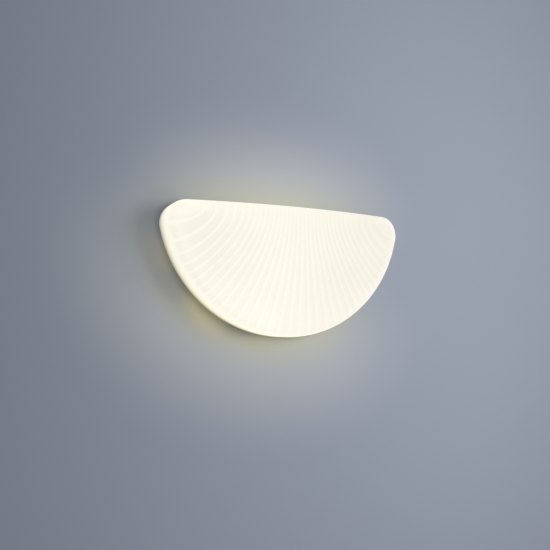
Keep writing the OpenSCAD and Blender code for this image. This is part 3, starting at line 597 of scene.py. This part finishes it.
# Colour, stain colour, roughness, scale of the lines and how much they are stretched along x, y and z
metal_finishes = {
    "spring_steel": ((0.60, 0.60, 0.58), (0.42, 0.42, 0.43), 0.28, 500, (14, 1, 1)),
    "zinc_steel": ((0.68, 0.69, 0.69), (0.58, 0.56, 0.47), 0.34, 300, (1, 6, 1)),
    "brass": ((0.76, 0.58, 0.27), (0.55, 0.39, 0.17), 0.3, 350, (1, 1, 8)),
}

finishes = {name: soft_finish(name, *values) for name, values in soft_finishes.items()}
finishes |= {name: metal_finish(name, *values) for name, values in metal_finishes.items()}

slot_of = {
    "base_tray": "white_paint", "wall_seal": "foam", "shade_springs": "spring_steel",
    "spring_rivets": "zinc_steel", "cable_grommet": "black_rubber", "cable_clamp": "white_nylon",
    "clamp_screws": "zinc_steel", "terminal_block": "white_nylon", "terminal_barrels": "brass",
    "terminal_screws": "zinc_steel", "block_screw": "zinc_steel", "earth_stud": "brass",
    "earth_washer": "zinc_steel", "earth_tag": "zinc_steel", "earth_nut": "brass",
    "driver_case": "case_plastic", "driver_lid": "case_plastic", "driver_board": "circuit_board",
    "driver_transformer": "ferrite", "driver_capacitors": "capacitor_sleeve",
    "driver_terminals": "green_terminal", "driver_screws": "zinc_steel", "plate_pillars": "zinc_steel",
    "light_plate": "white_paint", "plate_screws": "zinc_steel", "plate_grommet": "black_rubber",
    "thermal_pad": "heat_pad", "led_board": "white_board", "led_chips": "light_chip",
    "board_connector": "white_connector", "board_screws": "zinc_steel", "earth_lead": "earth_lead",
    "live_lead": "brown_lead", "neutral_lead": "blue_lead", "positive_lead": "red_lead",
    "negative_lead": "black_lead",
}

for name, slot in slot_of.items():
    node = nodes[name]
    node.data.materials.clear()
    node.data.materials.append(finishes[slot])


# Wall and floor

def stage_plane(name, corners, material):
    mesh = bpy.data.meshes.new(name)
    bm = bmesh.new()
    bm.faces.new([bm.verts.new(corner) for corner in corners])
    bm.to_mesh(mesh)
    bm.free()
    mesh.materials.append(material)
    plane = bpy.data.objects.new(name, mesh)
    scene.collection.objects.link(plane)
    plane.visible_shadow = False
    plane.visible_diffuse = False


def seen_from_front(tree, shader):
    """Lets the camera look through the back of the plane."""
    clear = tree.nodes.new("ShaderNodeBsdfTransparent")
    mix = tree.nodes.new("ShaderNodeMixShader")
    behind = tree.nodes.new("ShaderNodeNewGeometry").outputs["Backfacing"]
    for socket, source in zip(mix.inputs, (behind, shader.outputs[0], clear.outputs[0])):
        tree.links.new(source, socket)
    tree.links.new(mix.outputs[0], tree.nodes["Material Output"].inputs["Surface"])


def vector_math(tree, operation, first, second=None):
    node = tree.nodes.new("ShaderNodeVectorMath")
    node.operation = operation
    tree.links.new(first, node.inputs[0])
    if second:
        node.inputs[1].default_value = second
    return node.outputs


def outline_gap(tree, x, z):
    """Distance on the wall from the lamp's outline: a straight top, a round edge, rounded corners."""
    over = math_node(tree, "MAXIMUM", minus(tree, z, corner_z * mm), 0)
    reach = diagonal(tree, x, minus(tree, z, edge_z * mm))
    out = math_node(tree, "MAXIMUM", minus(tree, reach, (edge_r - corner_r) * mm), 0)
    return minus(tree, diagonal(tree, over, out), corner_r * mm)


def wall_tone(tree, place, x, z):
    """Grey-blue paint, lightened towards a painted pool of light right of the lamp, with faint clouds."""
    pool_x, pool_z, pool_w, pool_h, least = 0.21, 0.024, 0.649, 0.884, 0.5
    dark_tone, light_tone = (0.032, 0.046, 0.059), (0.425, 0.465, 0.555)
    across = math_node(tree, "DIVIDE", minus(tree, x, pool_x), pool_w)
    up = math_node(tree, "DIVIDE", minus(tree, z, pool_z), pool_h)
    spread = total(tree, squared(tree, across), squared(tree, up), 1)
    # Painted pool of light: the tone lightens towards a spot right of the lamp, and never falls below half
    # way
    painted_pool = math_node(tree, "MAXIMUM", math_node(tree, "DIVIDE", 1, spread), least)
    cloud = map_range(tree, noise(tree, place, 3, 3), *noise_span, 0.985, 1.015)
    return scaled_colour(tree, mix_colour(tree, painted_pool, dark_tone, light_tone), cloud)


def wall_paint_and_painted_light():
    """Wall paint, with the lamp's warm light and its close shadow painted onto it. Gaps are in metres."""
    near_warm, far_warm = (0.3, 0.257, 0.05), (0.3, 0.272, 0.196)
    spilt_light = (0.105, 0.077, 0.004)
    rim_least, rim_tone = 0.75, 0.88
    material, tree, shader = new_material("wall_paint_and_painted_light")
    place = object_place(tree)
    x, _, z = split(tree, place)
    gap = outline_gap(tree, x, z)
    way = vector_math(tree, "NORMALIZE", place)["Vector"]

    def toward(degrees):
        """Cosine between the way from the lamp's middle and a direction, counted from the right."""
        a = math.radians(degrees)
        return vector_math(tree, "DOT_PRODUCT", way, (math.cos(a), 0, math.sin(a)))["Value"]

    def lobe(degrees, low, high, strength):
        """Rises from nothing to strength while the cosine goes from low to high."""
        return ease(tree, toward(degrees), low, high, 0, strength)

    # The glow is strongest above the lamp and in a wide sweep below it
    far = vector_math(tree, "LENGTH", place)["Value"]
    above = product(tree, map_range(tree, toward(97), 0, 1, 0, 0.95), ease(tree, far, 0.1, 0.26, 1, 0))
    sweep = total(tree, above, lobe(-107, -0.25, 0.8, 0.73))
    # Close shadow all round the rim, deeper at the lower left and wider at the left
    rim = ease(tree, gap, 0, 0.007, rim_least, 1)
    deep = product(tree, ease(tree, gap, 0, 0.018, 0.75, 0), lobe(-138, 0.82, 1, 1))
    wide = product(tree, ease(tree, gap, 0.008, 0.034, 0.8, 0), lobe(-180, 0.8, 1, 1))
    unshaded = minus(tree, 1, math_node(tree, "MAXIMUM", deep, wide))
    glow = product(tree, ease(tree, gap, -0.06, 0.151, 1, 0), sweep, rim, unshaded)
    # Light spills past the rim along the lower left, and most in two spots
    spots = total(tree, lobe(-148, 0.95, 1, 0.85), lobe(-182, 0.985, 1, 0.3), lobe(-150, 0.62, 0.9, 0.5))
    spill = product(tree, ease(tree, gap, 0, 0.03, 1, 0), spots)
    # The shade's own edge darkens the wall next to it there
    close = product(tree, ease(tree, gap, 0, 0.012, 0.2, 0), lobe(-145, 0.7, 0.98, 1))
    open_share = minus(tree, 1, close)
    dim = product(tree, map_range(tree, rim, rim_least, 1, rim_tone, 1), open_share)
    tone = scaled_colour(tree, wall_tone(tree, place, x, z), dim)
    tree.links.new(tone, shader.inputs["Base Color"])
    warm = mix_colour(tree, ease(tree, gap, 0, 0.06, 0, 1), near_warm, far_warm)
    light = added_colour(tree, scaled_colour(tree, warm, glow), scaled_colour(tree, spilt_light, spill))
    tree.links.new(scaled_colour(tree, light, open_share), shader.inputs["Emission Color"])
    tree.links.new(bump(tree, noise(tree, place, 350, 3), 0.15, 0.0002), shader.inputs["Normal"])
    set_plain(shader, {"Emission Strength": 1, "Roughness": 0.9, "Specular IOR Level": 0.1})
    seen_from_front(tree, shader)
    return material


def floor_paint():
    material, tree, shader = new_material("floor_paint")
    clouds = noise(tree, object_place(tree), 4, 3)
    tone = mix_colour(tree, clouds, (0.74, 0.74, 0.735), (0.78, 0.78, 0.775))
    tree.links.new(tone, shader.inputs["Base Color"])
    set_plain(shader, {"Roughness": 0.8})
    seen_from_front(tree, shader)
    return material


# In metres: the wall stands a hair behind the lamp's back
wall_y, room_side, room_top, room_floor = 0.0006, 4, 3, -0.9

stage_plane("wall", [(-room_side, wall_y, room_floor), (room_side, wall_y, room_floor),
                     (room_side, wall_y, room_top), (-room_side, wall_y, room_top)], wall_paint_and_painted_light())
stage_plane("floor", [(-room_side, -room_side, room_floor), (room_side, -room_side, room_floor),
                      (room_side, room_side, room_floor), (-room_side, room_side, room_floor)],
            floor_paint())


# Light

def soft_light(name, place, size, power):
    """Square lamp that looks at the middle of the object."""
    data = bpy.data.lights.new(name, "AREA")
    data.shape = "SQUARE"
    data.size = size
    data.energy = power
    lamp = bpy.data.objects.new(name, data)
    scene.collection.objects.link(lamp)
    lamp.location = place
    lamp.rotation_euler = Vector(place).to_track_quat("Z", "Y").to_euler()


soft_light("window", (2.2, -1.65, 0.45), size=1.4, power=31)
soft_light("behind", (-0.35, 1.7, 0.4), size=1, power=10)

world = bpy.data.worlds.new("room")
scene.world = world
world.use_nodes = True
set_plain(world.node_tree.nodes["Background"], {"Color": (0.97, 0.985, 1.0, 1), "Strength": 0.5})
